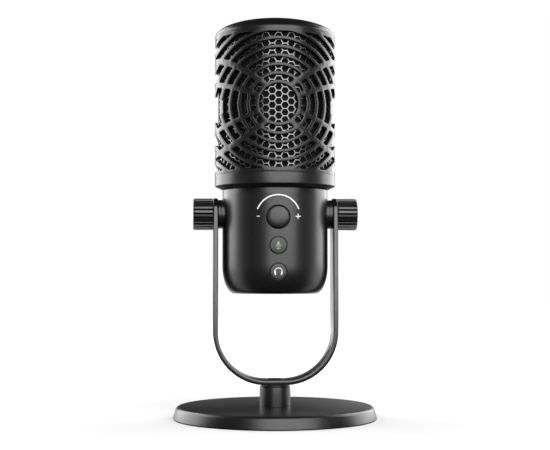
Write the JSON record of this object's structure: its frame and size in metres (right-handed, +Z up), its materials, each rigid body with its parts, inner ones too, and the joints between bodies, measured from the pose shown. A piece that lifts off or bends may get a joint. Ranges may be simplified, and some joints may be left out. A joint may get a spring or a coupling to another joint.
{
  "type": "desktop microphone",
  "caption": "Side-address desktop microphone with a round-slotted grille head, tilting in a U-shaped yoke clamped by thumb knobs, on a round weighted base.",
  "frame": {"origin": "centre of the base's underside, on the table", "axes": "+Z up, the controls and the front of the grille face -Y, +X to the right seen from the front"},
  "size_m": [0.11, 0.11, 0.2148],
  "materials": {
    "powder_coat": "satin black powder coat",
    "black_plastic": "satin black moulding",
    "knob_plastic": "fine matt black moulding",
    "button_plastic": "dark grey moulding",
    "rubber": "matt black",
    "nylon": "matt black",
    "mesh_steel": "black coated perforated sheet",
    "foam": "open-cell foam",
    "zinc_steel": "zinc plated",
    "brass": "turned",
    "circuit_board": "green solder mask",
    "nickel": "nickel plated",
    "led_resin": "clear resin"
  },
  "bodies": {
    "stand": {"base_plate": "powder_coat", "base_pad": "rubber", "base_screw": "zinc_steel", "base_post": "powder_coat", "swivel_washer": "nylon", "yoke_screw": "zinc_steel"},
    "yoke": {"yoke": "powder_coat"},
    "microphone": {"tilt_washer_left": "rubber", "tilt_washer_right": "rubber", "pivot_insert_left": "brass", "pivot_insert_right": "brass", "body_shell": "black_plastic", "bottom_plate": "black_plastic", "bottom_screw_left": "zinc_steel", "bottom_screw_right": "zinc_steel", "usb_socket": "nickel", "headphone_jack": "nylon", "port_board": "circuit_board", "port_screw_left": "zinc_steel", "port_screw_right": "zinc_steel", "control_board": "circuit_board", "board_screw_left": "zinc_steel", "board_screw_right": "zinc_steel", "volume_encoder": "zinc_steel", "mute_switch": "nylon", "mute_led": "led_resin", "monitor_switch": "nylon", "head_ring": "black_plastic", "head_screw_1": "zinc_steel", "head_screw_2": "zinc_steel", "head_screw_3": "zinc_steel", "grille_cage": "black_plastic", "hex_mesh": "mesh_steel", "foam_liner": "foam", "top_cap": "black_plastic", "capsule": "nickel", "capsule_cradle": "rubber", "capsule_stem": "nylon"},
    "left_clamp": {"knob_washer_left": "nylon"},
    "left_knob": {"knob_left": "knob_plastic", "knob_stud_left": "zinc_steel"},
    "right_clamp": {"knob_washer_right": "nylon"},
    "right_knob": {"knob_right": "knob_plastic", "knob_stud_right": "zinc_steel"},
    "volume": {"volume_knob": "knob_plastic", "volume_shaft": "zinc_steel"},
    "mute": {"mute_button": "button_plastic"},
    "monitor": {"monitor_button": "button_plastic"}
  },
  "joints": [
    {"name": "yoke_swivel", "type": "hinge", "parent": "stand", "child": "yoke", "pos_m": [0, 0, 0.01845], "axis": [0, 0, 1], "range_deg": [-180, 180]},
    {"name": "mic_tilt", "type": "hinge", "parent": "yoke", "child": "microphone", "pos_m": [0, 0, 0.1097], "axis": [1, 0, 0], "range_deg": [-105, 105]},
    {"name": "left_knob_travel", "type": "slide", "parent": "microphone", "child": "left_clamp", "axis": [-1, 0, 0], "range_m": [0, 0.003]},
    {"name": "left_knob_turn", "type": "hinge", "parent": "left_clamp", "child": "left_knob", "pos_m": [-0.0338, 0, 0.1097], "axis": [-1, 0, 0], "range_deg": [0, 1100]},
    {"name": "right_knob_travel", "type": "slide", "parent": "microphone", "child": "right_clamp", "axis": [1, 0, 0], "range_m": [0, 0.003]},
    {"name": "right_knob_turn", "type": "hinge", "parent": "right_clamp", "child": "right_knob", "pos_m": [0.0338, 0, 0.1097], "axis": [1, 0, 0], "range_deg": [0, 1100]},
    {"name": "volume_turn", "type": "hinge", "parent": "microphone", "child": "volume", "pos_m": [0, -0.0284, 0.1072], "axis": [0, 1, 0], "range_deg": [-140, 140]},
    {"name": "mute_press", "type": "slide", "parent": "microphone", "child": "mute", "axis": [0, 1, 0], "range_m": [0, 0.0005], "stiffness_N_per_m": 2000},
    {"name": "monitor_press", "type": "slide", "parent": "microphone", "child": "monitor", "axis": [0, 1, 0], "range_m": [0, 0.0005], "stiffness_N_per_m": 2000}
  ],
  "couplings": [
    {"joint": "left_knob_turn", "follows": "left_knob_travel", "rad_per_m": 6283.2},
    {"joint": "right_knob_turn", "follows": "right_knob_travel", "rad_per_m": 6283.2}
  ]
}
